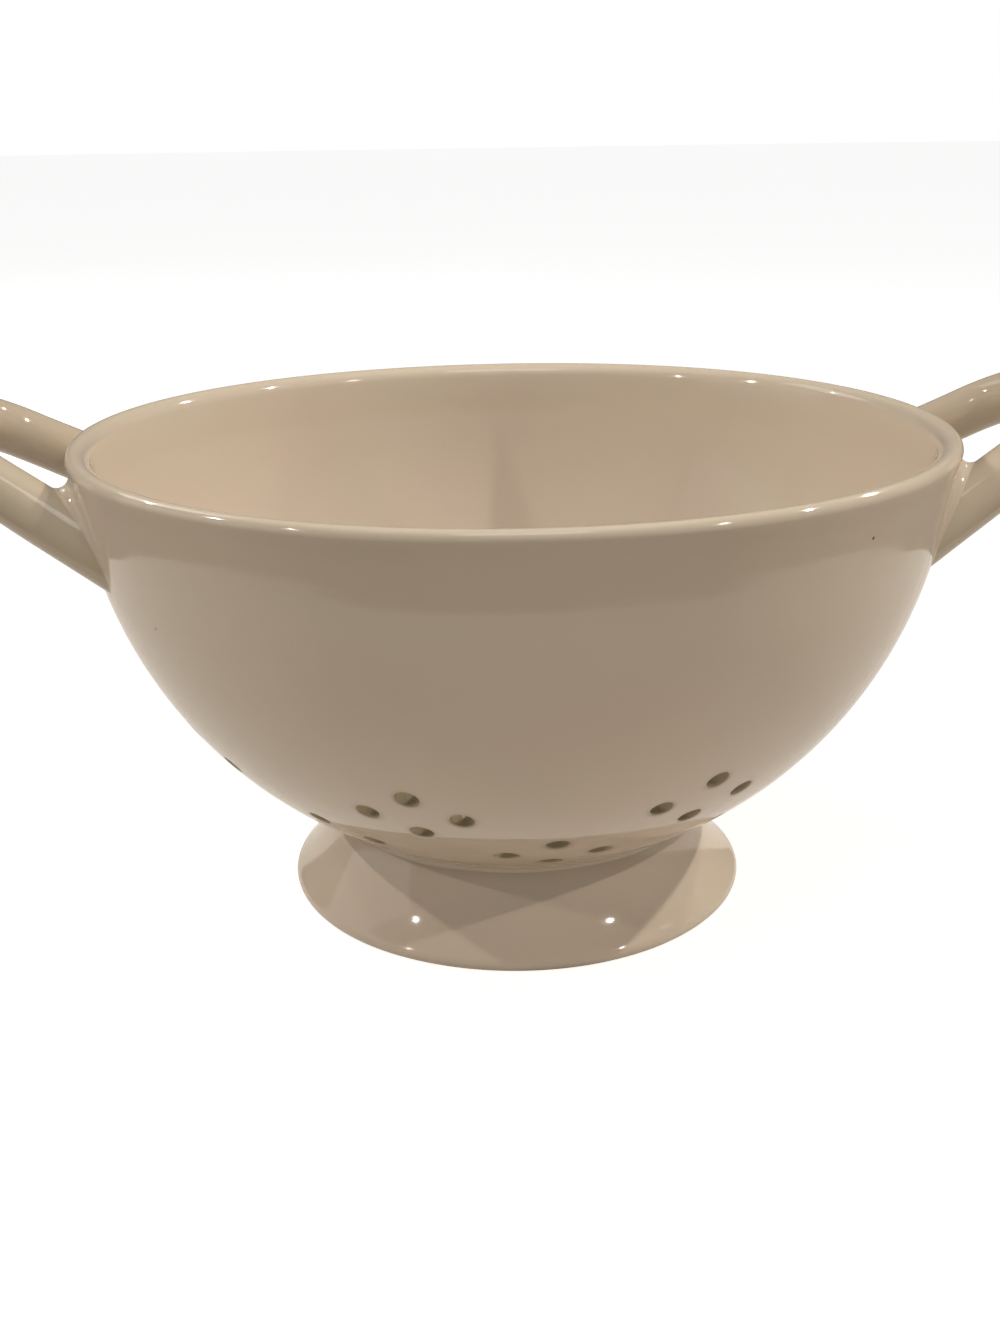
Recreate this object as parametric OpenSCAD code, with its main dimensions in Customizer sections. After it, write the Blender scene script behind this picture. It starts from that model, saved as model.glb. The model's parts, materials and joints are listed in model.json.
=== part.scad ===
// Glazed stoneware colander: a round bowl on a flared hollow foot, with two loop handles.
// The bowl, the foot and the handles are formed apart, joined with slip while the clay is
// leather-hard, then glazed and fired. Millimetres, +Z up, the foot stands on z = 0,
// the handles lie along X.

/* [Bowl] */
// Outside diameter across the lip
rim_d = 256; // [220:1:300]
// Thickness of the bowl's wall
bowl_wall = 5.5; // [4:0.5:8]
// How far the round lip swells past each face of the wall
lip_swell = 0.25; // [0.15:0.05:0.6]
// Height of the straight band of wall under the lip
collar_h = 23.5; // [16:0.5:30]
// Outward lean of that band from upright, in degrees
collar_lean = 10; // [6:0.5:12]
// Gap between the table and the lowest point of the bowl
bowl_lift = 12; // [10:0.1:20]

/* [Drain holes] */
// Diameter of a drain hole
hole_d = 6.2; // [4:0.1:8]
// Number of clusters in each of the two rings
cluster_count = 8; // [5:1:8]
// Distance between the left and the right hole of a cluster
cluster_w = 25.6; // [20:0.2:27]
// Distance between the top and the bottom hole of a cluster
cluster_h = 18.4; // [16:0.2:20]
// Distance up the bowl from the foot's neck to the middles of the lowest holes
neck_to_holes = 19; // [14:0.5:22]
// Distance up the bowl between the two rings of clusters
ring_step = 25.5; // [24:0.5:30]
// Turn of the whole pattern away from the handles, in degrees
pattern_turn = 3; // [-10:0.5:10]
// Number of holes in each of the two rings in the base
base_count = 8; // [5:1:8]
// Diameter of the inner ring of holes in the base
base_inner_d = 34; // [28:1:38]
// Diameter of the outer ring of holes in the base
base_outer_d = 66; // [58:1:70]

/* [Foot] */
// Outside diameter of the foot at the table
foot_d = 142; // [130:0.5:170]
// How far the foot's edge stands out past its neck under the bowl
foot_flare = 14; // [9:0.5:18]
// Thickness of the foot's wall
foot_wall = 5; // [4:0.5:6]
// Depth of the hollow curve in the foot's side
foot_hollow = 2; // [0.4:0.1:3]
// Height taken off the foot's round edge, so that it stands flat
foot_flat = 0.5; // [0.3:0.1:1]

/* [Handles] */
// Diameter of the handle's round rod
rod_d = 15.6; // [12:0.1:18]
// How far a handle reaches out past the lip
handle_reach = 46; // [42:1:56]
// Upward slope of a handle, in degrees
handle_rise = 30; // [15:1:35]
// Depth of a handle's middle below the lip, straight under the lip's edge
handle_drop = 16.5; // [15.5:0.5:24]
// Distance between the middles of a handle's two legs, straight under the lip's edge
leg_span = 74; // [68:1:90]
// How far each leg leans in towards the other, in degrees
leg_lean = 19; // [8:1:22]

/* [Slip joints] */
// Radius of the slip worked into the corner between foot and bowl
foot_slip_r = 4; // [2:0.25:5]
// Radius of the slip worked into the corner between a handle and the bowl
handle_slip_r = 3.5; // [2:0.25:5]
// Step left at the edge of the foot's slip
slip_step = 0.12; // [0.05:0.01:0.3]

/* [Hidden] */
glaze = [0.78, 0.71, 0.61];
slip = [0.74, 0.67, 0.57];
$fn = 160;
// Facets round a drain hole and round a handle's rod
hole_facets = 32;
rod_facets = 64;
// Length that a cutting shape runs past what it cuts
past = 5;
// Direction of the photographed front about Z, in degrees
front_turn = -90;

// Section of the bowl's outside: a round bottom, then the straight leaning band. The band
// starts a hair inside the round bottom, so that the two cross and don't only touch.
band_sink = 0.01;
rim_r = rim_d / 2;
wall_half = bowl_wall / 2;
lip_r = wall_half + lip_swell;
band_out = [cos(collar_lean), -sin(collar_lean)];
band_up = [sin(collar_lean), cos(collar_lean)];
band_foot_r = rim_r - lip_r + wall_half * cos(collar_lean) - collar_h * sin(collar_lean);
bowl_r = band_foot_r / cos(collar_lean) + band_sink;
bowl_mid = [0, bowl_lift + bowl_r];
band_foot = bowl_mid + (bowl_r - band_sink) * band_out;
lip_mid = band_foot + collar_h * band_up - wall_half * band_out;
rim_h = lip_mid[1] + lip_r;

// Middle line of the foot's wall: an arc from the bowl down to the round edge
edge_r = foot_wall / 2;
neck_r = foot_d / 2 - foot_flare - edge_r;
neck_end = [neck_r, bowl_mid[1] - sqrt(pow(bowl_r, 2) - pow(neck_r, 2))];
edge_end = [foot_d / 2 - edge_r, edge_r - foot_flat];
foot_chord = edge_end - neck_end;
foot_side = [-foot_chord[1], foot_chord[0]] / norm(foot_chord);
arc_r = (pow(norm(foot_chord) / 2, 2) + pow(foot_hollow, 2)) / (2 * foot_hollow);
arc_mid = (neck_end + edge_end) / 2 + (arc_r - foot_hollow) * foot_side;

// How far below the bowl's centre the two rings of clusters lie, in degrees
lower_dip = acos((neck_r + edge_r) / bowl_r) - bowl_angle(neck_to_holes + cluster_h / 2);
upper_dip = lower_dip - bowl_angle(ring_step);

// Middle line of a handle, in its own sloping plane: two leaning legs and a round end.
// The distance out along the slope starts straight under the lip's edge.
rod_r = rod_d / 2;
leg_gap = leg_span / 2;
leg_base_h = rim_h - handle_drop;
slope_reach = (handle_reach - rod_r) / cos(handle_rise);
bend_r = (leg_gap * cos(leg_lean) - slope_reach * sin(leg_lean)) / (1 - sin(leg_lean));
bend_out = slope_reach - bend_r;
leg_out = [cos(leg_lean), -sin(leg_lean)];
leg_end = [bend_out + bend_r * sin(leg_lean), bend_r * cos(leg_lean)];
// A leg starts this far inside the bowl before it is cut to the bowl's wall. It runs on this
// far into the round end, and is this much thinner, so that its own end lies inside that.
leg_inside = rod_d + 2 * past;
leg_overlap = 0.5;
leg_thinner = 0.2;
leg_len = (leg_end[0] + leg_inside) / leg_out[0] + leg_overlap;

// Facets of the slip round a handle's leg: round the leg, across the slip and under it
slip_around = 60;
slip_across = 7;
slip_under = 4;
// Gap under that slip, so that its flat facets never cut into the round bowl
slip_clear = 0.04;

// Point where two circles meet, on the right of the way from the first middle to the second
function circles_meet(m1, r1, m2, r2) =
    let(d = norm(m2 - m1), along = (d * d + r1 * r1 - r2 * r2) / (2 * d), dir = (m2 - m1) / d)
    m1 + along * dir + sqrt(r1 * r1 - along * along) * [dir[1], -dir[0]];

function unit(v) = v / norm(v);

// Angle at the bowl's centre for a distance along its outside
function bowl_angle(distance) = distance / bowl_r * 180 / PI;

// How far a point lies outside the bowl, and the bowl's outward direction there
function over_band(p) = ([norm([p[0], p[1]]), p[2]] - band_foot) * band_up > 0;
function bowl_gap(p) =
    let(q = [norm([p[0], p[1]]), p[2]])
    over_band(p) ? (q - band_foot) * band_out : norm(q - bowl_mid) - bowl_r;
function bowl_out(p) =
    let(r = norm([p[0], p[1]]), n = over_band(p) ? band_out : unit([r, p[2]] - bowl_mid))
    [n[0] * p[0] / r, n[0] * p[1] / r, n[1]];

function beside_bowl(p, gap) = p + (gap - bowl_gap(p)) * bowl_out(p);

// Distance along dir from p at which the line has the given gap to the bowl, by halving
function reach_gap(p, dir, gap, low, high, turns) =
    let(mid = (low + high) / 2)
    turns == 0 ? mid
    : bowl_gap(p + mid * dir) > gap ? reach_gap(p, dir, gap, low, mid, turns - 1)
    : reach_gap(p, dir, gap, mid, high, turns - 1);

// Leg of the handle on the +X side: a point on its middle line, its way out, and two
// directions across it. side is -1 for the front leg and 1 for the back one.
function leg_point(side) = [rim_r, side * leg_gap, leg_base_h];
function leg_way(side) =
    [leg_out[0] * cos(handle_rise), side * leg_out[1], leg_out[0] * sin(handle_rise)];
leg_top = [-sin(handle_rise), 0, cos(handle_rise)];

// Section of the slip at one direction round a leg. A ball of the slip's radius rolls in the
// corner between leg and bowl: the first point is the corner, the next ones follow the ball,
// and the last ones lie on the bowl under the slip, because the bowl is round there.
function slip_section(side, turn) =
    let(way = leg_way(side),
        across = cos(turn) * leg_top + sin(turn) * cross(way, leg_top),
        leg_skin = leg_point(side) + rod_r * across,
        ball_line = leg_skin + handle_slip_r * across,
        inside = -leg_inside - rim_r / 2,
        outside = slope_reach,
        ball_gap = handle_slip_r + slip_clear,
        ball = ball_line + way * reach_gap(ball_line, way, ball_gap, inside, outside, 40),
        corner = leg_skin + way * reach_gap(leg_skin, way, slip_clear, inside, outside, 40),
        to_leg = -across,
        to_bowl = -bowl_out(ball),
        edge = ball + handle_slip_r * to_bowl,
        sweep = acos(to_leg * to_bowl))
    concat([corner],
           [for (k = [0 : slip_across])
               let(f = k / slip_across)
               ball + handle_slip_r
                   * (sin((1 - f) * sweep) * to_leg + sin(f * sweep) * to_bowl) / sin(sweep)],
           [for (k = [1 : slip_under - 1])
               beside_bowl(edge + k / slip_under * (corner - edge), slip_clear)]);

// Half section of the bowl's outside, drawn in by inset and with the band longer by extra
module bowl_outline(inset = 0, extra = 0) {
    foot_in = band_foot - inset * band_out;
    top_in = foot_in + (collar_h + extra) * band_up;
    intersection() {
        union() {
            translate(bowl_mid)
                circle(r = bowl_r - inset);
            polygon([bowl_mid, foot_in, top_in, [0, top_in[1]]]);
        }
        square([rim_d, lip_mid[1] + extra]);
    }
}

module bowl_solid() {
    rotate_extrude()
        bowl_outline();
}

module drain_hole(dip, turn) {
    translate([0, 0, bowl_mid[1]])
        rotate([0, 90 + dip, turn])
            translate([0, 0, bowl_r - bowl_wall - past])
                cylinder(d = hole_d, h = bowl_wall + 2 * past, $fn = hole_facets);
}

// Four holes in a diamond
module cluster(dip, turn) {
    step_up = bowl_angle(cluster_h / 2);
    step_side = bowl_angle(cluster_w / 2) / cos(dip);
    for (s = [-1, 1]) {
        drain_hole(dip + s * step_up, turn);
        drain_hole(dip, turn + s * step_side);
    }
}

module base_hole(ring_d, turn) {
    rotate([0, 0, turn])
        translate([ring_d / 2, 0, bowl_lift - past])
            cylinder(d = hole_d, h = bowl_wall + 4 * past, $fn = hole_facets);
}

module bowl() {
    pitch = 360 / cluster_count;
    front = front_turn + pattern_turn;
    color(glaze)
        difference() {
            rotate_extrude()
                union() {
                    difference() {
                        bowl_outline();
                        bowl_outline(inset = bowl_wall, extra = past);
                    }
                    translate(lip_mid)
                        circle(r = lip_r);
                }
            for (i = [0 : cluster_count - 1]) {
                cluster(lower_dip, front + i * pitch);
                cluster(upper_dip, front + (i + 0.5) * pitch);
            }
            base_hole(0, 0);
            for (i = [0 : base_count - 1]) {
                base_hole(base_inner_d, front + i * 360 / base_count);
                base_hole(base_outer_d, front + (i + 0.5) * 360 / base_count);
            }
        }
}

// Section of the foot's wall, between two arcs, from inside the bowl to the round edge
module foot_outline() {
    start = unit(edge_end - arc_mid) * arc_r * 2;
    stop = unit(neck_end + [0, 4 * past] - arc_mid) * arc_r * 2;
    intersection() {
        difference() {
            translate(arc_mid)
                circle(r = arc_r + edge_r);
            translate(arc_mid)
                circle(r = arc_r - edge_r);
        }
        polygon([arc_mid, arc_mid + start, arc_mid + stop]);
    }
    intersection() {
        translate(edge_end)
            circle(r = edge_r);
        square([foot_d, foot_d]);
    }
}

module foot() {
    color(glaze)
        rotate_extrude()
            difference() {
                foot_outline();
                bowl_outline();
            }
}

// Section of the slip in the corner between the bowl and one face of the foot.
// face is -1 for the outer face of the foot and 1 for the inner one.
module foot_slip_outline(face) {
    face_r = arc_r + face * edge_r;
    sunk_r = foot_slip_r - slip_step;
    ball = circles_meet(bowl_mid, bowl_r + sunk_r, arc_mid, face_r + face * sunk_r);
    corner = circles_meet(bowl_mid, bowl_r, arc_mid, face_r);
    bowl_edge = bowl_mid + unit(ball - bowl_mid) * bowl_r;
    foot_edge = arc_mid + unit(ball - arc_mid) * face_r;
    difference() {
        polygon([bowl_edge, corner, foot_edge]);
        translate(ball)
            circle(r = foot_slip_r);
    }
}

module foot_slip_outer() {
    color(slip)
        rotate_extrude()
            foot_slip_outline(-1);
}

module foot_slip_inner() {
    color(slip)
        rotate_extrude()
            foot_slip_outline(1);
}

// The handle on the +X side, cut to the bowl's wall
module handle() {
    color(glaze)
        difference() {
            translate([rim_r, 0, leg_base_h])
                rotate([0, -handle_rise, 0])
                    union() {
                        for (s = [-1, 1])
                            translate([leg_end[0], s * leg_end[1], 0])
                                rotate([0, -90, -s * leg_lean])
                                    translate([0, 0, -leg_overlap])
                                        cylinder(d = rod_d - leg_thinner, h = leg_len,
                                                 $fn = rod_facets);
                        translate([bend_out, 0, 0])
                            rotate([0, 0, leg_lean - 90])
                                rotate_extrude(angle = 180 - 2 * leg_lean)
                                    translate([bend_r, 0])
                                        circle(d = rod_d, $fn = rod_facets);
                    }
            bowl_solid();
        }
}

// Slip in the corner all round one leg of the handle on the +X side
module handle_slip(side) {
    rings = [for (i = [0 : slip_around - 1]) slip_section(side, i * 360 / slip_around)];
    size = len(rings[0]);
    faces = [for (i = [0 : slip_around - 1], j = [0 : size - 1])
        let(here = i * size,
            next = (i + 1) % slip_around * size,
            a = here + j,
            b = here + (j + 1) % size,
            c = next + (j + 1) % size,
            d = next + j)
        each [[a, c, b], [a, d, c]]];
    color(slip)
        polyhedron(points = [for (ring = rings) each ring], faces = faces, convexity = 4);
}

module left_handle() {
    rotate([0, 0, 180])
        handle();
}

module right_handle() {
    handle();
}

// Turning the back leg's slip half round puts it at the front of the left handle
module left_front_slip() {
    rotate([0, 0, 180])
        handle_slip(1);
}

module left_back_slip() {
    rotate([0, 0, 180])
        handle_slip(-1);
}

module right_front_slip() {
    handle_slip(-1);
}

module right_back_slip() {
    handle_slip(1);
}

bowl();
foot();
left_handle();
right_handle();
foot_slip_outer();
foot_slip_inner();
left_front_slip();
left_back_slip();
right_front_slip();
right_back_slip();
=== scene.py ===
"""Looks of the glazed stoneware colander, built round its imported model.

Metres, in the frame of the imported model: the foot stands on z = 0, the handles lie along X,
and the photograph looks along +Y. The clay is shaped as a potter leaves it, a little uneven,
and each piece is a closed mesh of its own that stands for one node of the model.
"""
import json
import math

import bpy
import numpy as np
from mathutils import Matrix, Vector
from mathutils.geometry import delaunay_2d_cdt

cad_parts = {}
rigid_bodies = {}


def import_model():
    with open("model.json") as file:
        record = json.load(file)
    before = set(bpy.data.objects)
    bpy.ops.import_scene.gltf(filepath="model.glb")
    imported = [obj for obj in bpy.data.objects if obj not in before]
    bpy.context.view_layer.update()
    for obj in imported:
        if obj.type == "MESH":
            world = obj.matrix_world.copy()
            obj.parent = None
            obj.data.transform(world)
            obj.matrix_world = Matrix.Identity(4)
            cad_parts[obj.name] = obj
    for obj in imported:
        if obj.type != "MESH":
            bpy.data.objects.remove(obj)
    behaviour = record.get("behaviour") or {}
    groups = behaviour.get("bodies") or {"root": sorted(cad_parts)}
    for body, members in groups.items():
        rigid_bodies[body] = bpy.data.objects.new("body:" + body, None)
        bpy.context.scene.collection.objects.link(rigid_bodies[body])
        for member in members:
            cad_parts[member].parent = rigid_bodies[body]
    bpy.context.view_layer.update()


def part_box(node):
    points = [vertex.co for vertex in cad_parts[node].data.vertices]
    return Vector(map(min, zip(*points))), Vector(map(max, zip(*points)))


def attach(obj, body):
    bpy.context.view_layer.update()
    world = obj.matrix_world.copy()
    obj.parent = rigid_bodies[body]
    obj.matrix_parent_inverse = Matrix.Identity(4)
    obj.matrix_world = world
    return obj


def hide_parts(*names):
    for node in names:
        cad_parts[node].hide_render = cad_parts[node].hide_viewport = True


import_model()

MM = 0.001
TURN = 2 * math.pi

# Bowl
BOWL_LOW, BOWL_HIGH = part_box("bowl")
RIM_R = BOWL_HIGH.x
RIM_H = BOWL_HIGH.z
WALL = 5.5 * MM
BAND_LONG = 23.5 * MM
BAND_LEAN = math.radians(10)
LIP_R = WALL / 2 + 0.25 * MM
# The lip is rounded tightly outside and softly inside, where the wall thickens towards it
LIP_OUT_R = 2.3 * MM
LIP_IN_R = 4.6 * MM
LIP_OUT_BLEND = 6 * MM
LIP_IN_BLEND = 16 * MM
# Faint rings left from turning the clay
RING_STEP = 9 * MM
RING_DEEP = 0.01 * MM
BAND_OUT = np.array([math.cos(BAND_LEAN), -math.sin(BAND_LEAN)])
BAND_UP = np.array([math.sin(BAND_LEAN), math.cos(BAND_LEAN)])
BAND_FOOT_R = RIM_R - LIP_R + WALL / 2 * BAND_OUT[0] - BAND_LONG * BAND_UP[0]
BOWL_R = BAND_FOOT_R / BAND_OUT[0]
BOWL_MID = np.array([0, BOWL_LOW.z + BOWL_R])
BAND_FOOT = BOWL_MID + BOWL_R * BAND_OUT
LIP_OUT_MID = np.array([RIM_R - LIP_OUT_R, RIM_H - LIP_OUT_R])
LIP_IN_MID = np.array([RIM_R - LIP_OUT_R, RIM_H - LIP_IN_R])
BOWL_CENTRE = np.array([0, 0, BOWL_MID[1]])

# Drain holes
HOLE_R = 3.1 * MM
HOLE_EDGE = 0.6 * MM
HOLE_POINTS = 32
CLUSTERS = 8
CLUSTER_WIDE = 25.6 * MM
CLUSTER_HIGH = 18.4 * MM
NECK_R = 57 * MM
LOWER_DIP = math.acos(NECK_R / BOWL_R) - (19 * MM + CLUSTER_HIGH / 2) / BOWL_R
UPPER_DIP = LOWER_DIP - 25.5 * MM / BOWL_R
PATTERN_FRONT = math.radians(3 - 90)
BASE_HOLES = 8
BASE_RING_R = (17 * MM, 33 * MM)

# Foot
FOOT_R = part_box("foot")[1].x
FOOT_WALL = 5 * MM
FOOT_HOLLOW = 2 * MM
FOOT_FLAT = 0.5 * MM
# The thrown foot isn't even: hollower on the right, fuller on the left, and its edge is a
# little out of round, drawn in most at the back right
FOOT_HOLLOW_SWING = 0.8 * MM
FOOT_DRAWN_IN = 3.2 * MM
FOOT_DRAWN_TURN = math.radians(38)
FOOT_DRAWN_WIDE = math.radians(34)
BARE_HIGH = 0.7 * MM

# Handles
ROD_R = 7.8 * MM
HANDLE_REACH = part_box("right_handle")[1].x - RIM_R
HANDLE_RISE = math.radians(30)
HANDLE_DROP = 16.5 * MM
LEG_SPAN = 74 * MM
LEG_LEAN = math.radians(19)
HANDLE_SUNK = 2 * MM
# How strongly painted shade darkens the handles all over
HANDLE_SHADE = 0.85
LEG_BASE = np.array([RIM_R, 0, RIM_H - HANDLE_DROP])
SLOPE_REACH = (HANDLE_REACH - ROD_R) / math.cos(HANDLE_RISE)
BEND_R = ((LEG_SPAN / 2 * math.cos(LEG_LEAN) - SLOPE_REACH * math.sin(LEG_LEAN))
          / (1 - math.sin(LEG_LEAN)))

# Slip beads in the corners
FOOT_SLIP_R = 2.5 * MM
HANDLE_SLIP_R = 3.5 * MM
SLIP_SUNK = 0.06 * MM

# How far the clay strays from true: oval and waves as shares of the radius, and the lip's sag.
# Down at the table it is true.
OVAL = 0.0008
WAVES = 0.0006
LIP_SAG = 0.2 * MM
TRUE_HIGH = 40 * MM

# How finely the meshes are cut
AROUND = 288
CLAY_STEP = 2.6 * MM
STRIP_DIP = math.radians(28)


def srgb(code):
    """Linear colour of a hex code such as #C8B59A."""
    parts = [int(code[i:i + 2], 16) / 255 for i in (1, 3, 5)]
    return [c / 12.92 if c <= 0.04045 else ((c + 0.055) / 1.055) ** 2.4 for c in parts] + [1]


def smooth_step(x):
    x = np.clip(x, 0, 1)
    return x * x * (3 - 2 * x)


def unit(v):
    return v / np.linalg.norm(v, axis=-1, keepdims=True)


# Clay meshes


def skin(rings, closed=False, first=0):
    """Quads over rings of points, each ring closed on itself. Closed joins the last to the first."""
    count, around = rings.shape[:2]
    last = count if closed else count - 1
    i, j = np.meshgrid(np.arange(last), np.arange(around), indexing="ij")
    here = first + i * around
    there = first + (i + 1) % count * around
    turn = (j + 1) % around
    return np.stack([here + j, here + turn, there + turn, there + j], -1).reshape(-1, 4)


def faces_out(quads):
    return [tuple(reversed(q)) for q in quads]


def make_piece(name, points, faces, materials, node, face_material=None, shades=None):
    """One closed piece of clay that rides on the root body and stands for one node."""
    mesh = bpy.data.meshes.new(name)
    points = as_thrown(points)
    mesh.from_pydata([tuple(p) for p in points], [], [tuple(int(i) for i in f) for f in faces])
    mesh.validate()
    for material in materials:
        mesh.materials.append(material)
    if face_material is not None:
        mesh.polygons.foreach_set("material_index", np.asarray(face_material, np.int32))
    for key, values in (shades or {}).items():
        mesh.attributes.new(key, "FLOAT", "POINT").data.foreach_set("value", np.asarray(values, np.float32))
    mesh.shade_smooth()
    mesh.set_sharp_from_angle(angle=math.radians(60))
    piece = bpy.data.objects.new(name, mesh)
    bpy.context.scene.collection.objects.link(piece)
    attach(piece, "root")
    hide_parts(node)
    return piece


class Unevenness:
    """Gentle waves in three directions, as a hand-finished surface has."""

    def __init__(self, seed, shortest, longest, waves=9):
        draw = np.random.default_rng(seed)
        way = unit(draw.normal(size=(waves, 3)))
        self.turns = way * TURN / draw.uniform(shortest, longest, (waves, 1))
        self.phase = draw.uniform(0, TURN, waves)

    def __call__(self, points):
        return np.sin(points @ self.turns.T + self.phase).mean(-1)


STRAY = Unevenness(21, 35 * MM, 90 * MM)


def as_thrown(points):
    """Points of the true shape where the clay really lies: a little oval, waved and sagged.
    Every piece is moved alike, so joints stay closed, and nothing moves out or up."""
    turn = np.arctan2(points[:, 1], points[:, 0])
    lift = smooth_step(points[:, 2] / TRUE_HIGH)
    shrink = lift * (OVAL * (1 + np.cos(2 * turn - 0.9)) + WAVES * (1 - STRAY(points)))
    sag = LIP_SAG * (1 + np.cos(3 * turn + 1)) * smooth_step((points[:, 2] - 0.1) / 0.045)
    return np.stack([points[:, 0] * (1 - shrink), points[:, 1] * (1 - shrink), points[:, 2] - sag], -1)


def merge_points(points, faces, near=1e-6):
    """The same mesh with points that lie on each other made one."""
    keys = np.round(points / near).astype(np.int64)
    _, first, back = np.unique(keys, axis=0, return_index=True, return_inverse=True)
    back = back.reshape(-1)
    return points[first], [[int(back[i]) for i in f] for f in faces], first


def arc_points(middle, r, start, stop, count):
    a = np.linspace(start, stop, count)
    return middle + r * np.stack([np.cos(a), np.sin(a)], -1)


# Bowl


def bowl_gap(points):
    """How far points lie outside the bowl."""
    out = np.hypot(points[..., 0], points[..., 1])
    from_foot = np.stack([out, points[..., 2]], -1) - BAND_FOOT
    from_mid = np.hypot(out, points[..., 2] - BOWL_MID[1]) - BOWL_R
    return np.where(from_foot @ BAND_UP > 0, from_foot @ BAND_OUT, from_mid)


def bowl_normal(points):
    """The bowl's outward direction beside points."""
    out = np.hypot(points[..., 0], points[..., 1])
    flat = np.stack([out, points[..., 2]], -1)
    ball = unit(flat - BOWL_MID)
    n = np.where((((flat - BAND_FOOT) @ BAND_UP) > 0)[..., None], BAND_OUT, ball)
    return np.stack([n[..., 0] * points[..., 0] / out, n[..., 0] * points[..., 1] / out, n[..., 1]], -1)


def bowl_profile():
    """Half section of the bowl from the outside at STRIP_DIP, over the lip, to the inside."""
    steps = round((STRIP_DIP - BAND_LEAN) * BOWL_R / CLAY_STEP)
    dips = np.linspace(STRIP_DIP, BAND_LEAN, steps + 1)
    rises = np.linspace(0, BAND_LONG, round(BAND_LONG / (CLAY_STEP / 2)) + 1)[1:-1]
    out_swell = (LIP_OUT_MID - BAND_FOOT) @ BAND_OUT + LIP_OUT_R
    out_end = (LIP_OUT_MID - BAND_FOOT) @ BAND_UP
    in_swell = LIP_IN_R - WALL - (LIP_IN_MID - BAND_FOOT) @ BAND_OUT
    in_end = (LIP_IN_MID - BAND_FOOT) @ BAND_UP
    outside = [BOWL_MID + BOWL_R * np.array([math.cos(a), -math.sin(a)]) for a in dips]
    outside += [BAND_FOOT + h * BAND_UP + out_swell * smooth_step(1 - (out_end - h) / LIP_OUT_BLEND) * BAND_OUT
                for h in rises * out_end / BAND_LONG]
    crest = list(arc_points(LIP_OUT_MID, LIP_OUT_R, -BAND_LEAN, math.pi / 2, 12))
    crest += list(arc_points(LIP_IN_MID, LIP_IN_R, math.pi / 2, math.pi - BAND_LEAN, 14)[1:])
    inside = [BAND_FOOT + h * BAND_UP - (WALL + in_swell * smooth_step(1 - (in_end - h) / LIP_IN_BLEND)) * BAND_OUT
              for h in rises * in_end / BAND_LONG]
    inner = [BOWL_MID + (BOWL_R - WALL) * np.array([math.cos(a), -math.sin(a)]) for a in dips]
    return np.array(outside + crest + inside[::-1] + inner[::-1])


def on_bowl(dip, turn):
    """Direction from the bowl's centre at a dip below it and a turn about Z."""
    return np.array([math.cos(dip) * math.cos(turn), math.cos(dip) * math.sin(turn), -math.sin(dip)])


def drain_holes():
    """Each hole's middle line: a start near the bowl's centre, and the way down and out."""
    pitch = TURN / CLUSTERS
    holes = []
    for i in range(CLUSTERS):
        for dip, turn in ((LOWER_DIP, PATTERN_FRONT + i * pitch),
                          (UPPER_DIP, PATTERN_FRONT + (i + 0.5) * pitch)):
            up = CLUSTER_HIGH / 2 / BOWL_R
            side = CLUSTER_WIDE / 2 / (BOWL_R * math.cos(dip))
            for s in (-1, 1):
                holes.append((BOWL_CENTRE, on_bowl(dip + s * up, turn)))
                holes.append((BOWL_CENTRE, on_bowl(dip, turn + s * side)))
    down = np.array([0, 0, -1.0])
    holes.append((BOWL_CENTRE, down))
    for ring, ring_r in enumerate(BASE_RING_R):
        for i in range(BASE_HOLES):
            turn = PATTERN_FRONT + (i + ring / 2) * TURN / BASE_HOLES
            holes.append((BOWL_CENTRE + ring_r * np.array([math.cos(turn), math.sin(turn), 0]), down))
    return holes


class Hole:
    """A drain hole cut with a tube, so it is nearly round and its edges are softened by glaze."""

    def __init__(self, start, way, draw):
        self.way = way
        self.side = unit(np.cross(way, [0.3, 0.2, 1.0]))
        self.up = np.cross(way, self.side)
        self.start = start + draw.normal(0, 0.12 * MM, 2) @ np.array([self.side, self.up])
        self.oval = draw.uniform(-0.03, 0.03)
        self.lean = draw.uniform(0, TURN)
        self.wide = draw.uniform(0.96, 1.03)

    def ring(self, face_r, off, depth=0, points=HOLE_POINTS):
        """Points round the hole on a ball of face_r, off from the hole's wall, depth further in."""
        a = np.arange(points) / points * TURN
        out = HOLE_R * self.wide * (1 + self.oval * np.cos(2 * (a - self.lean))) + off
        across = out[:, None] * (np.cos(a)[:, None] * self.side + np.sin(a)[:, None] * self.up)
        base = self.start + across - BOWL_CENTRE
        along = base @ self.way
        flat = base - along[:, None] * self.way
        reach = np.sqrt(face_r ** 2 - (flat ** 2).sum(-1)) - along
        return self.start + across + (reach - depth)[:, None] * self.way

    def off_axis(self, points):
        away = points - self.start
        return np.linalg.norm(away - (away @ self.way)[:, None] * self.way, axis=-1)


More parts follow.
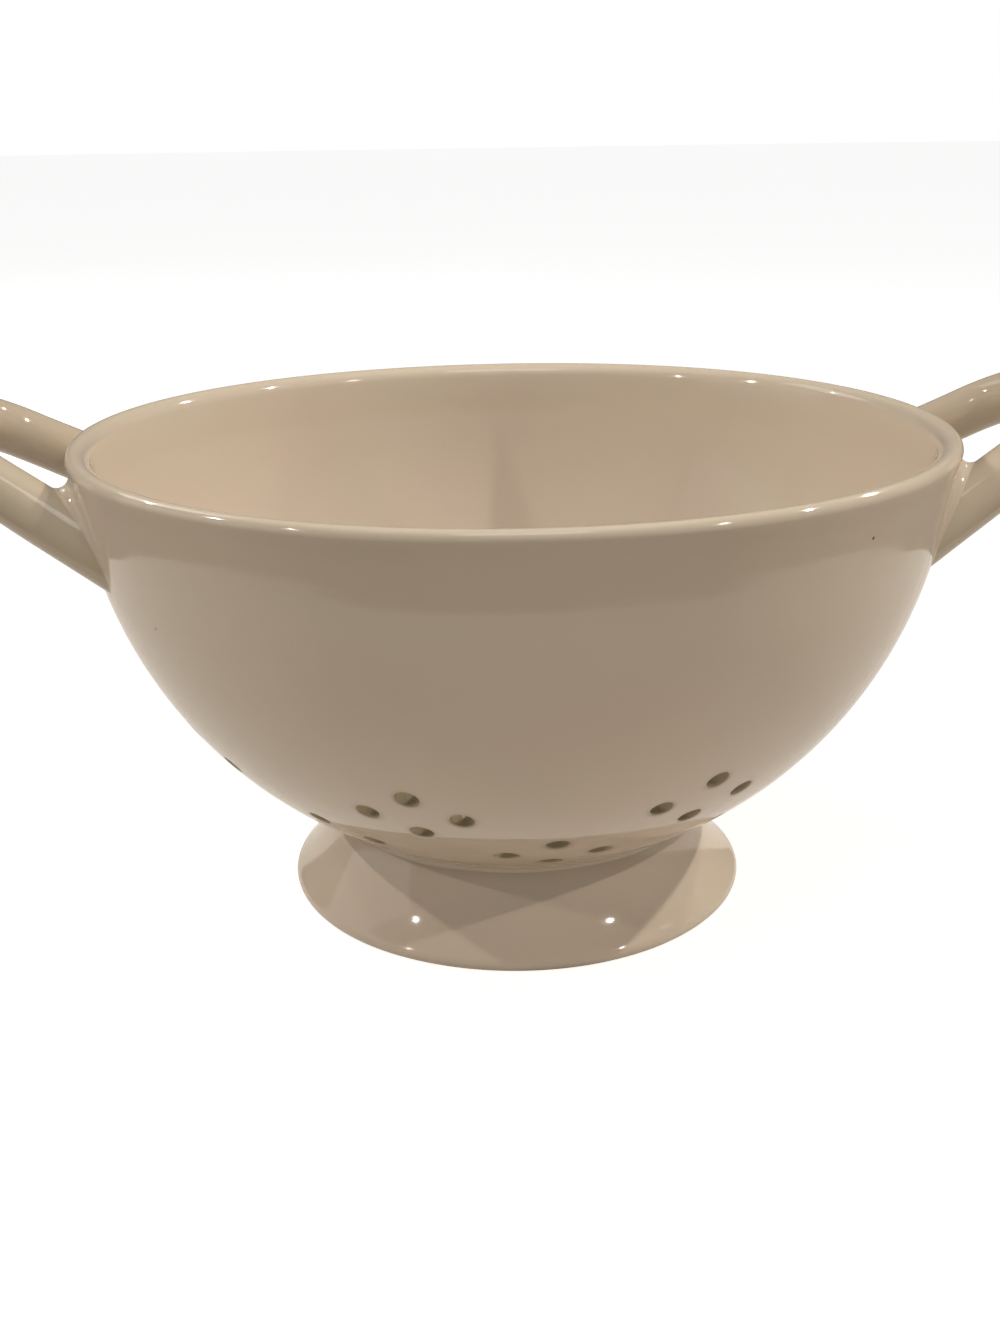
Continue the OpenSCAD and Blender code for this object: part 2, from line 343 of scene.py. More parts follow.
def pierced_ball(face_r, holes):
    """Triangles over the bowl's round bottom at one face, with its holes left open."""
    guard = ((0.0, HOLE_POINTS), (0.9 * MM, 24), (2.1 * MM, 18))
    points = []
    polar_most = math.pi / 2 - STRIP_DIP
    rings = round(polar_most * face_r / CLAY_STEP)
    for k in range(rings + 1):
        polar = polar_most * k / rings
        count = AROUND if k == rings else max(1, round(TURN * face_r * math.sin(polar) / CLAY_STEP))
        shift = 0 if k == rings else 0.5 * (k % 2)
        for j in range(count):
            a = (j + shift) / count * TURN
            points.append(on_bowl(math.pi / 2 - polar, a) * face_r + BOWL_CENTRE)
    points = np.array(points)
    keep = np.ones(len(points), bool)
    widest = HOLE_R + HOLE_EDGE + guard[-1][0] + CLAY_STEP * 0.5
    for hole in holes:
        keep &= (hole.off_axis(points) > widest) | (points[:, 2] > BOWL_CENTRE[2])
    keep[-AROUND:] = True
    points = points[keep]
    owner = np.full(len(points), -1)
    edges = []
    for number, hole in enumerate(holes):
        for off, count in guard:
            first = len(points)
            points = np.vstack([points, hole.ring(face_r, HOLE_EDGE + off, points=count)])
            owner = np.concatenate([owner, np.full(count, number if off == 0 else -1)])
            edges += [(first + j, first + (j + 1) % count) for j in range(count)]
    n = (points - BOWL_CENTRE) / face_r
    flat = n[:, :2] / (1 - n[:, 2:3])
    laid, _, triangles, source, _, _ = delaunay_2d_cdt([Vector(p) for p in flat], edges, [], 0, 1e-9)
    back = [ids[0] for ids in source]
    faces = []
    for t in triangles:
        ids = [back[i] for i in t]
        owners = {int(owner[i]) for i in ids}
        if owners == {-1} or len(owners) > 1:
            faces.append(ids)
    return points, faces


def make_bowl(material):
    draw = np.random.default_rng(11)
    holes = [Hole(start, way, draw) for start, way in drain_holes()]
    profile = bowl_profile()
    a = np.arange(AROUND) / AROUND * TURN
    rings = np.stack([np.outer(profile[:, 0], np.cos(a)), np.outer(profile[:, 0], np.sin(a)),
                      np.repeat(profile[:, 1:], AROUND, 1)], -1)
    points = [rings.reshape(-1, 3)]
    faces = [list(f) for f in skin(rings)]
    for face_r, outward in ((BOWL_R, True), (BOWL_R - WALL, False)):
        first = sum(len(p) for p in points)
        ball, triangles = pierced_ball(face_r, holes)
        points.append(ball)
        faces += [[first + i for i in (t if not outward else t[::-1])] for t in triangles]
    bends = np.linspace(0, math.pi / 2, 7)
    for hole in holes:
        loops = [hole.ring(BOWL_R, HOLE_EDGE * (1 - math.sin(b)), HOLE_EDGE * (1 - math.cos(b)))
                 for b in bends]
        loops += [hole.ring(BOWL_R - WALL, HOLE_EDGE * (1 - math.sin(b)), -HOLE_EDGE * (1 - math.cos(b)))
                  for b in bends[::-1]]
        loops = np.array(loops)
        first = sum(len(p) for p in points)
        points.append(loops.reshape(-1, 3))
        faces += [list(f) for f in skin(loops, first=first)]
    points, faces, _ = merge_points(np.vstack(points), faces)
    faces = [f for f in faces if len(set(f)) == len(f)]

    near_hole = np.full(len(points), 1.0)
    low = points[:, 2] < BOWL_CENTRE[2]
    for hole in holes:
        near_hole[low] = np.minimum(near_hole[low], hole.off_axis(points[low]))
    # Painted shade round the holes: the glaze is darkened out to 2.2 mm from each rim
    pooled_glaze_and_shade = 1 - smooth_step((near_hole - HOLE_R) / (2.2 * MM))
    # Painted shade inside the holes: their bores are darkened
    hole_shade = 1 - smooth_step((near_hole - HOLE_R - 0.1 * MM) / (0.6 * MM))
    flat = np.stack([np.hypot(points[:, 0], points[:, 1]), points[:, 2]], -1)
    # Painted shade on the lip's crest, where the glaze also breaks thin
    crest = smooth_step((flat[:, 1] - RIM_H) / LIP_OUT_R + 1.2)

    turning = np.sin(flat[:, 1] / RING_STEP * TURN + 2 * np.sin(np.arctan2(points[:, 1], points[:, 0])))
    points = points + (RING_DEEP * (turning - 1) * (1 - pooled_glaze_and_shade))[:, None] * unit(points - BOWL_CENTRE)
    return make_piece("bowl_clay", points, faces, [material], "bowl",
                      shades={"pooled_glaze_and_shade": pooled_glaze_and_shade, "thin_glaze_and_shade": crest, "hole_shade": hole_shade})


# Foot


def foot_section(turn):
    """Section of the foot at one turn: up the outside, over the sunk top, down the inside."""
    edge_r = FOOT_WALL / 2
    neck_r = NECK_R - edge_r
    neck = np.array([neck_r, BOWL_MID[1] - math.sqrt(BOWL_R ** 2 - neck_r ** 2)])
    from_drawn = (turn - FOOT_DRAWN_TURN + math.pi) % TURN - math.pi
    drawn_in = FOOT_DRAWN_IN * math.exp(-(from_drawn / FOOT_DRAWN_WIDE) ** 2)
    edge = np.array([FOOT_R - edge_r - drawn_in, edge_r - FOOT_FLAT])
    hollow = FOOT_HOLLOW + FOOT_HOLLOW_SWING * math.cos(turn)
    along = edge - neck
    side = np.array([-along[1], along[0]]) / np.linalg.norm(along)
    s = np.linspace(-0.16, 1, 26)[:, None]
    middle = neck + s * along - hollow * 4 * s * (1 - s) * side
    slope = unit(along - hollow * 4 * (1 - 2 * s) * side)
    outward = np.stack([-slope[:, 1], slope[:, 0]], -1)
    outer = middle + edge_r * outward
    inner = middle - edge_r * outward
    top_gap = 0.4 * MM
    for line in (outer, inner):
        for i in range(len(line)):
            away = line[i] - BOWL_MID
            if np.linalg.norm(away) < BOWL_R - top_gap:
                line[i] = BOWL_MID + away / np.linalg.norm(away) * (BOWL_R - top_gap)
    start = math.atan2(outward[-1, 1], outward[-1, 0])
    cap = arc_points(edge, edge_r, start, start - math.pi, 15)[1:-1]
    section = np.vstack([outer, cap, inner[::-1]])
    return np.stack([section[:, 0], np.maximum(section[:, 1], 0)], -1)


def make_foot(glaze, bare):
    turns = np.arange(AROUND) / AROUND * TURN
    sections = np.array([foot_section(a) for a in turns])
    rings = np.stack([sections[..., 0] * np.cos(turns)[:, None], sections[..., 0] * np.sin(turns)[:, None],
                      sections[..., 1]], -1).transpose(1, 0, 2)
    points = rings.reshape(-1, 3)
    faces = skin(rings, closed=True)
    flat = np.stack([np.hypot(points[:, 0], points[:, 1]), points[:, 2]], -1)
    centres = points[faces].mean(1)
    bare_face = (centres[:, 2] < BARE_HIGH).astype(int)
    # Painted shade where the foot meets the bowl: its top is darkened, with some glaze pooled in the corner
    joint_shade = 1 - smooth_step((np.abs(np.hypot(flat[:, 0], flat[:, 1] - BOWL_MID[1]) - BOWL_R)) / (5 * MM))
    # Slightly darker and browner towards the foot's bottom edge
    thin_glaze_and_shade = 1 - smooth_step((points[:, 2] - 1.2 * MM) / (2.5 * MM))
    return make_piece("foot_clay", points, faces, [glaze, bare], "foot",
                      face_material=bare_face, shades={"pooled_glaze_and_shade": joint_shade, "thin_glaze_and_shade": thin_glaze_and_shade})


# Handles


def halve(test, low, high, turns=44):
    """Where test turns from true to false, by halving, for arrays of lows and highs."""
    for _ in range(turns):
        middle = (low + high) / 2
        yes = test(middle)
        low = np.where(yes, middle, low)
        high = np.where(yes, high, middle)
    return (low + high) / 2


def leg_frame(side):
    """A leg's point under the lip's edge, its way out, and the handle's own upward direction."""
    rise, drop = math.cos(HANDLE_RISE), math.sin(HANDLE_RISE)
    start = LEG_BASE + np.array([0, side * LEG_SPAN / 2, 0])
    way = np.array([math.cos(LEG_LEAN) * rise, -side * math.sin(LEG_LEAN), math.cos(LEG_LEAN) * drop])
    return start, way, np.array([-drop, 0, rise])


def handle_line():
    """Middle line of the handle on the +X side, in its own plane: out, across, and the way along."""
    bend_mid = SLOPE_REACH - BEND_R
    leg_end = np.array([bend_mid + BEND_R * math.sin(LEG_LEAN), BEND_R * math.cos(LEG_LEAN)])
    reach = leg_end[0] / math.cos(LEG_LEAN)
    start = leg_end - np.array([math.cos(LEG_LEAN), -math.sin(LEG_LEAN)]) * reach
    leg = [start + (leg_end - start) * s for s in np.linspace(0, 1, 12)[:-1]]
    bend = [np.array([bend_mid, 0]) + BEND_R * np.array([math.cos(a), math.sin(a)])
            for a in np.linspace(math.pi / 2 - LEG_LEAN, -(math.pi / 2 - LEG_LEAN), 41)]
    back = [p * [1, -1] for p in reversed(leg)]
    line = np.array(leg + bend + back)
    return line


def make_handle(name, node, half_turn, seed, material):
    around = 64
    line = handle_line()
    along = unit(np.gradient(line, axis=0))
    lift = np.array([-math.sin(HANDLE_RISE), 0, math.cos(HANDLE_RISE)])
    out = np.array([math.cos(HANDLE_RISE), 0, math.sin(HANDLE_RISE)])
    back = np.array([0, 1.0, 0])
    middle = LEG_BASE + line[:, :1] * out + line[:, 1:] * back
    side = -along[:, 1:] * out + along[:, :1] * back
    wave = Unevenness(seed, 35 * MM, 90 * MM)
    a = np.arange(around) / around * TURN
    run = np.linspace(0, 1, len(line))
    root = np.maximum(smooth_step(1 - run / 0.16), smooth_step((run - 0.84) / 0.16))
    wide = ROD_R * (1 - 0.012 * (1 + wave(middle)) + 0.035 * root)
    rings = (middle[:, None] + wide[:, None, None]
             * (np.cos(a)[None, :, None] * lift + np.sin(a)[None, :, None] * side[:, None]))
    ends = []
    for end, s in ((0, 1), (-1, -1)):
        start, way, _ = leg_frame(s)
        ring = rings[end]
        low = np.full(around, -60 * MM)
        high = np.full(around, 0.0)
        reach = halve(lambda t: bowl_gap(ring + t[:, None] * way) < -HANDLE_SUNK, low, high)
        tips = ring + reach[:, None] * way
        ends.append([ring + (tips - ring) * f for f in (1, 0.75, 0.5, 0.25)])
    rings = np.array(ends[0] + list(rings) + ends[1][::-1])
    points = rings.reshape(-1, 3)
    faces = [list(f) for f in skin(rings)]
    count = len(points)
    points = np.vstack([points, rings[0].mean(0), rings[-1].mean(0)])
    tail = count - around
    faces += [[(j + 1) % around, j, count] for j in range(around)]
    faces += [[tail + j, tail + (j + 1) % around, count + 1] for j in range(around)]
    # Painted shade: the handles are darkened all over, and most at their roots by the bowl, where glaze also pools
    pooled_glaze_and_shade = HANDLE_SHADE + (1 - HANDLE_SHADE) * (1 - smooth_step(bowl_gap(points) / (5 * MM)))
    if half_turn:
        points = points * [-1, -1, 1]
    return make_piece(name, points, faces, [material], node,
                      shades={"pooled_glaze_and_shade": pooled_glaze_and_shade, "thin_glaze_and_shade": pooled_glaze_and_shade * 0})


# Slip beads


def handle_slip_ring(side, seed):
    """Rings of points of the slip round one leg of the handle on the +X side."""
    around, across = 96, 9
    start, way, up = leg_frame(side)
    turns = np.arange(around) / around * TURN
    out = np.cos(turns)[:, None] * up + np.sin(turns)[:, None] * np.cross(way, up)
    draw = np.random.default_rng(seed)
    phase = draw.uniform(0, TURN, 3)
    bead = HANDLE_SLIP_R * (1 + 0.14 * np.cos(turns - phase[0]) + 0.07 * np.cos(3 * turns - phase[1]))
    rod = ROD_R * 1.015
    skin_line = start + rod * out
    ball_line = start + (rod + bead)[:, None] * out
    low = np.full(around, -90 * MM)
    high = np.full(around, 30 * MM)
    t = halve(lambda t: bowl_gap(ball_line + t[:, None] * way) < bead, low, high)
    ball = ball_line + t[:, None] * way
    t = halve(lambda t: bowl_gap(skin_line + t[:, None] * way) < 0, low, high)
    to_bowl = -bowl_normal(ball)
    corner = skin_line + t[:, None] * way - out * 1.2 * MM + to_bowl * 1.2 * MM
    sweep = np.arccos((-out * to_bowl).sum(-1))[:, None]
    rings = [corner]
    for k in range(across + 1):
        f = k / across
        toward = (np.sin((1 - f) * sweep) * -out + np.sin(f * sweep) * to_bowl) / np.sin(sweep)
        rings.append(ball + (bead[:, None] + SLIP_SUNK) * toward)
    return np.array(rings)


def make_handle_slip(name, side, half_turn, seed, material):
    rings = handle_slip_ring(side, seed)
    points = rings.reshape(-1, 3)
    faces = skin(rings, closed=True)
    if side > 0:
        faces = faces[:, ::-1]
    if half_turn:
        points = points * [-1, -1, 1]
    # The slip is darkened a little all over: painted shade in the corner it fills, with some glaze pooled there
    return make_piece(name, points, faces, [material], name,
                      shades={"pooled_glaze_and_shade": np.full(len(points), 0.3), "thin_glaze_and_shade": np.zeros(len(points))})


def foot_slip_section(turn, face, bead):
    """Section of the slip between bowl and foot at one turn: the corner, then along the bead."""
    section = foot_section(turn)
    line = section[:26] if face > 0 else section[-26:][::-1]
    slope = unit(np.gradient(line, axis=0))
    normal = face * np.stack([-slope[:, 1], slope[:, 0]], -1)
    balls = line + bead * normal
    gaps = np.hypot(balls[:, 0], balls[:, 1] - BOWL_MID[1]) - BOWL_R - bead
    i = int(np.argmax(gaps > 0))
    f = gaps[i - 1] / (gaps[i - 1] - gaps[i])
    ball = balls[i - 1] + f * (balls[i] - balls[i - 1])
    to_foot = -unit(normal[i - 1] + f * (normal[i] - normal[i - 1]))
    to_bowl = unit(BOWL_MID - ball)
    sweep = math.acos(float(to_foot @ to_bowl))
    arc = [ball + (bead + SLIP_SUNK) * (math.sin((1 - g) * sweep) * to_foot + math.sin(g * sweep) * to_bowl)
           / math.sin(sweep) for g in np.linspace(0, 1, 10)]
    corner = (arc[0] + arc[-1]) / 2 + (to_foot + to_bowl) * bead * 0.42
    return np.array([corner] + arc)


def make_foot_slip(name, face, seed, material):
    draw = np.random.default_rng(seed)
    phase = draw.uniform(0, TURN, 3)
    turns = np.arange(AROUND) / AROUND * TURN
    bead = FOOT_SLIP_R * (1 + 0.08 * np.cos(2 * turns - phase[0]) + 0.05 * np.cos(5 * turns - phase[1])
                          + 0.03 * np.cos(11 * turns - phase[2]))
    sections = np.array([foot_slip_section(a, face, b) for a, b in zip(turns, bead)])
    rings = np.stack([sections[..., 0] * np.cos(turns)[:, None], sections[..., 0] * np.sin(turns)[:, None],
                      sections[..., 1]], -1).transpose(1, 0, 2)
    faces = skin(rings, closed=True)
    if face < 0:
        faces = faces[:, ::-1]
    points = rings.reshape(-1, 3)
    # The slip is darkened a little all over: painted shade in the corner it fills, with some glaze pooled there
    return make_piece(name, points, faces, [material], name,
                      shades={"pooled_glaze_and_shade": np.full(len(points), 0.3), "thin_glaze_and_shade": np.zeros(len(points))})


# Finishes


def add_node(tree, kind, inputs=None, **settings):
    """Adds a node, sets it up, and links or sets its inputs."""
    made = tree.nodes.new(kind)
    for key, value in settings.items():
        setattr(made, key, value)
    for key, value in (inputs or {}).items():
        if isinstance(value, bpy.types.NodeSocket):
            tree.links.new(value, made.inputs[key])
        else:
            made.inputs[key].default_value = value
    return made


def new_material(name):
    material = bpy.data.materials.new(name)
    material.use_nodes = True
    material.node_tree.nodes.clear()
    return material, material.node_tree


def glazed_stoneware(name, shift=(0, 0, 0)):
    """Stoneware under a glossy cream glaze: an even warm beige, a little pink or green where the
    glaze lies thinner or thicker, with fine orange peel, soft ripples and rare pinholes. Painted
    shade darkens it at the joints, round and inside the holes, over the handles and on the lip."""
    material, tree = new_material(name)
    where = add_node(tree, "ShaderNodeTexCoord").outputs["Object"]
    where = add_node(tree, "ShaderNodeVectorMath", {0: where, 1: shift}, operation="ADD").outputs[0]
    patches = add_node(tree, "ShaderNodeTexNoise", {"Vector": where, "Scale": 1 / (70 * MM), "Detail": 3.0}).outputs[0]
    spread = add_node(tree, "ShaderNodeMapRange", {"Value": patches, "From Min": 0.38, "From Max": 0.62}).outputs[0]
    tone = add_node(tree, "ShaderNodeMix", {"Factor": spread, "A": srgb("#C8BAA5"), "B": srgb("#C9B8A5")},
                    data_type="RGBA")
    # Painted shade with some pooled glaze: darker olive at the joints between parts, round the holes, on the slips and
    # over the handles
    pooled_glaze_and_shade = add_node(tree, "ShaderNodeAttribute", attribute_name="pooled_glaze_and_shade").outputs["Fac"]
    pooled_shade_share = add_node(tree, "ShaderNodeMath", {0: pooled_glaze_and_shade, 1: 0.45}, operation="MULTIPLY").outputs[0]
    tone = add_node(tree, "ShaderNodeMix", {"Factor": pooled_shade_share, "A": tone.outputs["Result"], "B": srgb("#A49576")},
                    data_type="RGBA")
    # Slightly darker and browner on the lip's crest, painted shade that tones down the lit lip where the glaze also
    # breaks thin; on the foot, towards its bottom edge
    thin_glaze_and_shade = add_node(tree, "ShaderNodeAttribute", attribute_name="thin_glaze_and_shade").outputs["Fac"]
    edge = add_node(tree, "ShaderNodeMath", {0: thin_glaze_and_shade, 1: 0.5}, operation="MULTIPLY").outputs[0]
    tone = add_node(tree, "ShaderNodeMix", {"Factor": edge, "A": tone.outputs["Result"], "B": srgb("#C6B8A0")},
                    data_type="RGBA")
    # Painted shade inside the holes: a dark olive
    hole_shade = add_node(tree, "ShaderNodeAttribute", attribute_name="hole_shade").outputs["Fac"]
    hole_shade_share = add_node(tree, "ShaderNodeMath", {0: hole_shade, 1: 0.7}, operation="MULTIPLY").outputs[0]
    tone = add_node(tree, "ShaderNodeMix", {"Factor": hole_shade_share, "A": tone.outputs["Result"], "B": srgb("#8F8265")},
                    data_type="RGBA")
    # Pinholes are 0.5 to 1 mm wide, one in five cells of 16 mm
    cells = add_node(tree, "ShaderNodeTexVoronoi", {"Vector": where, "Scale": 1 / (16 * MM), "Randomness": 1.0})
    pick = add_node(tree, "ShaderNodeSeparateColor", {"Color": cells.outputs["Color"]})
    chosen = add_node(tree, "ShaderNodeMath", {0: pick.outputs[0], 1: 0.80}, operation="GREATER_THAN").outputs[0]
    reach = add_node(tree, "ShaderNodeMapRange", {"Value": pick.outputs[1], "To Min": 0.012, "To Max": 0.032}).outputs[0]
    spot = add_node(tree, "ShaderNodeMath", {0: cells.outputs["Distance"], 1: reach}, operation="LESS_THAN").outputs[0]
    pin = add_node(tree, "ShaderNodeMath", {0: spot, 1: chosen}, operation="MULTIPLY").outputs[0]
    tone = add_node(tree, "ShaderNodeMix", {"Factor": pin, "A": tone.outputs["Result"], "B": srgb("#5E4632")},
                    data_type="RGBA")
    peel = add_node(tree, "ShaderNodeTexNoise", {"Vector": where, "Scale": 1 / (2.2 * MM), "Detail": 2.0}).outputs[0]
    ripple = add_node(tree, "ShaderNodeTexNoise", {"Vector": where, "Scale": 1 / (16 * MM), "Detail": 1.0}).outputs[0]
    fine = add_node(tree, "ShaderNodeBump", {"Height": peel, "Strength": 0.10, "Distance": 0.06 * MM})
    broad = add_node(tree, "ShaderNodeBump", {"Height": ripple, "Strength": 0.5, "Distance": 0.12 * MM,
                                              "Normal": fine.outputs[0]})
    pits = add_node(tree, "ShaderNodeBump", {"Height": pin, "Strength": 0.8, "Distance": 0.2 * MM,
                                             "Normal": broad.outputs[0]}, invert=True)
    smear = add_node(tree, "ShaderNodeTexNoise", {"Vector": where, "Scale": 1 / (30 * MM), "Detail": 4.0}).outputs[0]
    gloss = add_node(tree, "ShaderNodeMapRange", {"Value": smear, "From Min": 0.3, "From Max": 0.7, "To Min": 0.04,
                                                  "To Max": 0.08}).outputs[0]
    rough = add_node(tree, "ShaderNodeMath", {0: pin, 1: gloss}, operation="MAXIMUM").outputs[0]
    surface = add_node(tree, "ShaderNodeBsdfPrincipled", {"Base Color": tone.outputs["Result"], "Roughness": rough,
                                                         "Normal": pits.outputs[0], "IOR": 1.52})
    add_node(tree, "ShaderNodeOutputMaterial", {"Surface": surface.outputs[0]})
    return material


def bare_stoneware(name):
    """Unglazed fired clay where the foot stands: matt, pale buff, with sandy grit."""
    material, tree = new_material(name)
    where = add_node(tree, "ShaderNodeTexCoord").outputs["Object"]
    grit = add_node(tree, "ShaderNodeTexNoise", {"Vector": where, "Scale": 1 / (0.8 * MM), "Detail": 4.0}).outputs[0]
    tone = add_node(tree, "ShaderNodeMix", {"Factor": grit, "A": srgb("#B79C7C"), "B": srgb("#DCC8AC")},
                    data_type="RGBA")
    bump = add_node(tree, "ShaderNodeBump", {"Height": grit, "Strength": 0.6, "Distance": 0.15 * MM})
    surface = add_node(tree, "ShaderNodeBsdfPrincipled", {"Base Color": tone.outputs["Result"], "Roughness": 0.9,
                                                         "Normal": bump.outputs[0]})
    add_node(tree, "ShaderNodeOutputMaterial", {"Surface": surface.outputs[0]})
    return material


def plain_surface(name, colour, roughness, glow=0.0):
    """A plain surface of the stage. Its glow stands for the other lamps that light the room."""
    material, tree = new_material(name)
    surface = add_node(tree, "ShaderNodeBsdfPrincipled",
                       {"Base Color": srgb(colour), "Roughness": roughness,
                        "Emission Color": srgb("#FFF6EA"), "Emission Strength": glow})
    add_node(tree, "ShaderNodeOutputMaterial", {"Surface": surface.outputs[0]})
    material.cycles.emission_sampling = "NONE"
    return material


# Camera, floor and light

# The round table that the glaze mirrors, and the ceiling lamps above it: place and watts
TABLE_MID = (5 * MM, 70 * MM)
TABLE_R = 0.36
TABLE_GLOW = 0.03
TABLE_GLOW_IN_GLAZE = 0.75
ROOM_GLOW = 0.02
FLOOR_GLOW = 0.82
# The room's light: from all round, and more from the photographer's side
SKY = 0.09
SKY_IN_FRONT = 0.27
LAMP_HIGH = 2.0
LAMP_WIDE = 0.07
CEILING_LAMPS = {
    "lamp_left_back": (-2.0, 1.75, 6),
    "lamp_left_mid": (-2.35, 0.2, 22),
    "lamp_left_front": (-2.5, -1.25, 15),
    "lamp_right_back": (1.95, 1.65, 15),
    "lamp_right_mid": (1.9, 0.15, 33),
    "lamp_right_front": (1.9, -1.4, 20),
}
# Broad soft lights of the room: place, width, height and watts
SOFT_LIGHTS = {
    "soft_above": ((0, 0.1, 1.6), 1.2, 1.2, 1.5),
    "soft_front": ((0, -0.7, 2.0), 0.8, 0.6, 4),
    "soft_left": ((-1.4, 0, 0.5), 1.2, 0.8, 1.7),
    "soft_right": ((1.4, 0, 0.5), 1.2, 0.8, 0.4),
    "soft_left_back": ((-1.2, 1.2, 1.5), 0.8, 0.8, 3.7),
}


def make_camera():
    """The photograph's camera, 0.45 m in front of the colander's middle and looking down on it."""
    place = Vector((-31.45, -439.15, 222.37)) * MM
    heading, tilt, roll = (math.radians(a) for a in (3.489, 19.50, -0.865))
    lens, long_side = 40.5, 36.0
    forward = Vector((math.sin(heading) * math.cos(tilt), math.cos(heading) * math.cos(tilt), -math.sin(tilt)))
    right = Vector((math.cos(heading), -math.sin(heading), 0))
    up = right.cross(forward)
    right, up = right * math.cos(roll) + up * math.sin(roll), up * math.cos(roll) - right * math.sin(roll)
    camera = bpy.data.cameras.new("camera")
    camera.lens, camera.sensor_width = lens, long_side
    camera.clip_start, camera.clip_end = 0.01, 100
    holder = bpy.data.objects.new("camera", camera)
    turn = Matrix((right, up, -forward)).transposed().to_4x4()
    holder.matrix_world = Matrix.Translation(place) @ turn
    bpy.context.scene.collection.objects.link(holder)
    bpy.context.scene.camera = holder


def flat_disc(name, middle, r, height, material, hole_r=0.0):
    """A level disc or ring of the stage."""
    count = 96
    a = np.arange(count) / count * TURN
    round_out = np.stack([np.cos(a), np.sin(a)], -1)
    points = [(middle[0] + r * x, middle[1] + r * y, height) for x, y in round_out]
    faces = [tuple(range(count))]
    if hole_r:
        points += [(middle[0] + hole_r * x, middle[1] + hole_r * y, height) for x, y in round_out]
        faces = [(i, (i + 1) % count, count + (i + 1) % count, count + i) for i in range(count)]
    mesh = bpy.data.meshes.new(name)
    mesh.from_pydata(points, [], faces)
    mesh.materials.append(material)
    disc = bpy.data.objects.new(name, mesh)
    bpy.context.scene.collection.objects.link(disc)
    return disc


def pale_floor(name):
    """Smooth pale table: lit so evenly that it looks almost white, with a soft shadow by the foot."""
    material, tree = new_material(name)
    matt = add_node(tree, "ShaderNodeBsdfDiffuse", {"Color": srgb("#F0EFED")})
    glow = add_node(tree, "ShaderNodeEmission", {"Color": srgb("#FFFFFF"), "Strength": FLOOR_GLOW})
    both = add_node(tree, "ShaderNodeAddShader", {0: matt.outputs[0], 1: glow.outputs[0]})
    add_node(tree, "ShaderNodeOutputMaterial", {"Surface": both.outputs[0]})
    material.cycles.emission_sampling = "NONE"
    return material


def make_floor():
    """The camera sees a pale floor. The glaze mirrors a round table top and the dimmer room past it."""
    seen = flat_disc("floor", (0, 0), 30, 0, pale_floor("pale_floor"))
    seen.visible_diffuse = seen.visible_glossy = seen.visible_transmission = seen.visible_shadow = False
    table = flat_disc("table_top", TABLE_MID, TABLE_R, -1 * MM,
                      plain_surface("table_lacquer", "#C9C2B8", 0.6, TABLE_GLOW))
    table.visible_glossy = False
    mirrored = flat_disc("table_in_glaze", TABLE_MID, TABLE_R, -2 * MM,
                         plain_surface("table_in_glaze", "#C9C2B8", 0.6, TABLE_GLOW_IN_GLAZE))
    mirrored.visible_diffuse = False
    room = flat_disc("dim_room", TABLE_MID, 12, -3 * MM, plain_surface("dim_room", "#6E6257", 0.8, ROOM_GLOW),
                     TABLE_R)
    for piece in (table, mirrored, room):
        piece.visible_camera = False


def make_lamp(name, place, target, wide, watts, colour="#FFFFFF", high=0.0):
    """A flat lamp that faces its target: round, or a rectangle if it has a height."""
    lamp = bpy.data.lights.new(name, "AREA")
    lamp.shape = "RECTANGLE" if high else "DISK"
    lamp.size = wide
    if high:
        lamp.size_y = high
    lamp.energy = watts
    lamp.color = srgb(colour)[:3]
    holder = bpy.data.objects.new(name, lamp)
    holder.location = place
    holder.rotation_euler = (Vector(target) - Vector(place)).to_track_quat("-Z", "Y").to_euler()
    bpy.context.scene.collection.objects.link(holder)
    return holder


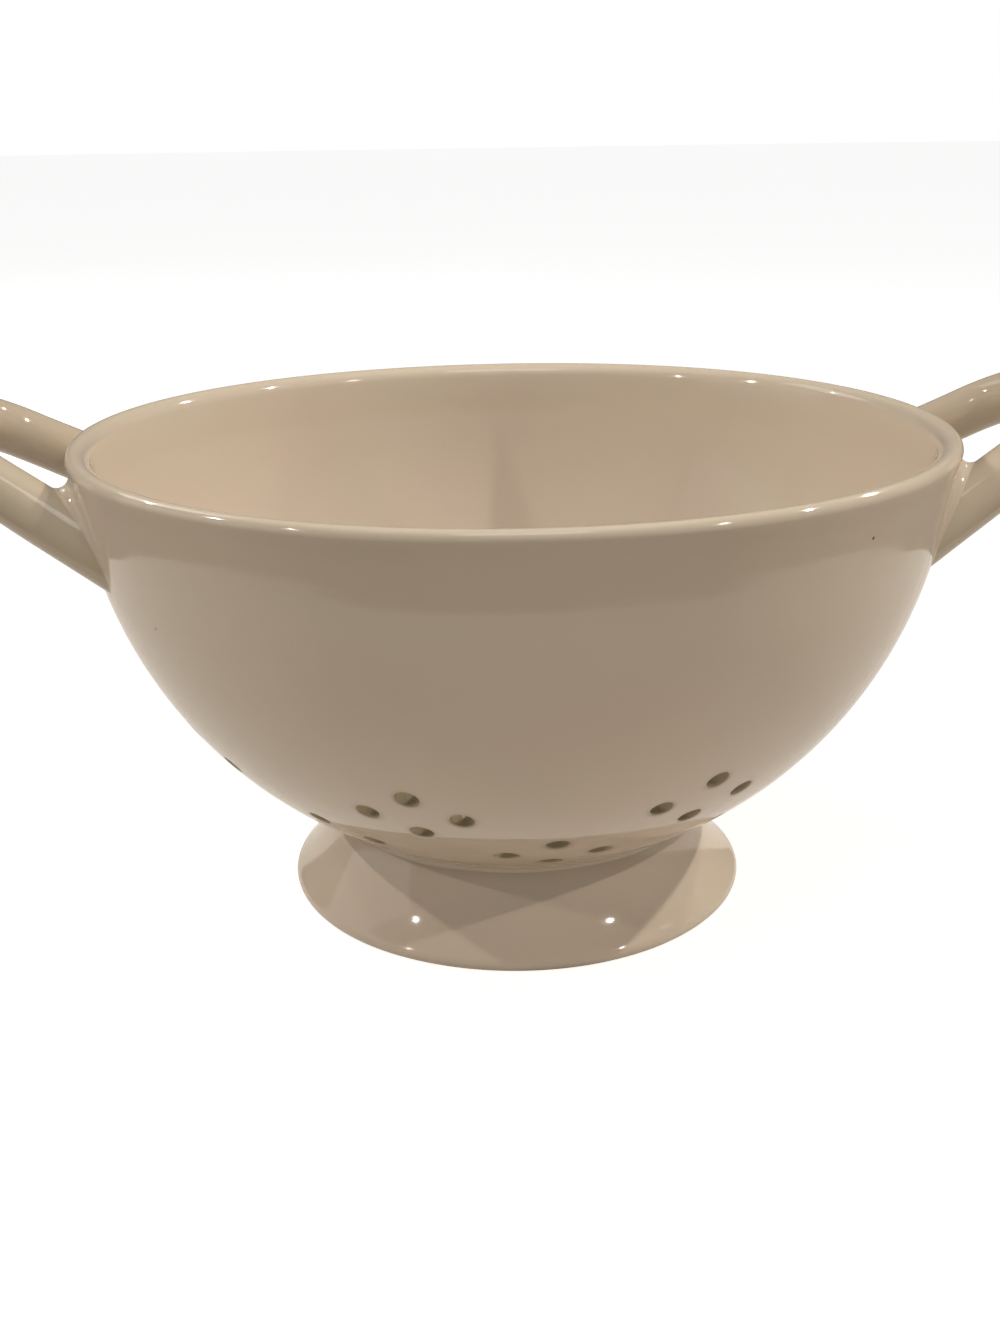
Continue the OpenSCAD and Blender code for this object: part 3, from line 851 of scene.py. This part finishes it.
def make_light():
    """Soft light from all round, and six small ceiling lamps that give the glints on the lip."""
    world = bpy.data.worlds.new("studio")
    world.use_nodes = True
    tree = world.node_tree
    tree.nodes.clear()
    way = add_node(tree, "ShaderNodeSeparateXYZ", {0: add_node(tree, "ShaderNodeTexCoord").outputs["Generated"]})
    front = add_node(tree, "ShaderNodeMath", {0: way.outputs["Y"], 1: -SKY_IN_FRONT}, operation="MULTIPLY").outputs[0]
    front = add_node(tree, "ShaderNodeMath", {0: front, 1: 0.0}, operation="MAXIMUM").outputs[0]
    bright = add_node(tree, "ShaderNodeMath", {0: front, 1: SKY}, operation="ADD").outputs[0]
    sky = add_node(tree, "ShaderNodeBackground", {"Color": srgb("#FFFFFF"), "Strength": bright})
    seen = add_node(tree, "ShaderNodeBackground", {"Color": srgb("#FFFFFF"), "Strength": 1.0})
    ray = add_node(tree, "ShaderNodeLightPath")
    mixed = add_node(tree, "ShaderNodeMixShader", {0: ray.outputs["Is Camera Ray"], 1: sky.outputs[0],
                                                   2: seen.outputs[0]})
    add_node(tree, "ShaderNodeOutputWorld", {"Surface": mixed.outputs[0]})
    bpy.context.scene.world = world
    lit = bpy.data.collections.new("lit_by_ceiling_lamps")
    for piece in bpy.context.scene.objects:
        if piece.type == "MESH" and piece.name != "floor":
            lit.objects.link(piece)
    for name, (x, y, watts) in CEILING_LAMPS.items():
        lamp = make_lamp(name, (x, y, LAMP_HIGH), (0, 0, 0.1), LAMP_WIDE, watts, "#FFF9F2")
        lamp.light_linking.receiver_collection = lit
    for name, (place, wide, high, watts) in SOFT_LIGHTS.items():
        make_lamp(name, place, (0, 0, 0.1), wide, watts, high=high)


def main():
    bpy.context.scene.view_settings.view_transform = "Standard"
    make_camera()
    make_floor()
    bowl_glaze = glazed_stoneware("cream_glaze_on_bowl")
    foot_glaze = glazed_stoneware("cream_glaze_on_foot", (0.3, 0.1, 0.2))
    handle_glaze = glazed_stoneware("cream_glaze_on_handles", (0.7, 0.5, 0.1))
    slip_glaze = glazed_stoneware("cream_glaze_on_slip", (0.9, 0.2, 0.6))
    bare = bare_stoneware("bare_stoneware")
    make_bowl(bowl_glaze)
    make_foot(foot_glaze, bare)
    make_handle("right_handle_clay", "right_handle", False, 41, handle_glaze)
    make_handle("left_handle_clay", "left_handle", True, 42, handle_glaze)
    make_foot_slip("foot_slip_outer", 1, 51, slip_glaze)
    make_foot_slip("foot_slip_inner", -1, 52, slip_glaze)
    for name, side, half_turn, seed in (("right_front_slip", -1, False, 61), ("right_back_slip", 1, False, 62),
                                        ("left_front_slip", 1, True, 63), ("left_back_slip", -1, True, 64)):
        make_handle_slip(name, side, half_turn, seed, slip_glaze)
    make_light()


main()
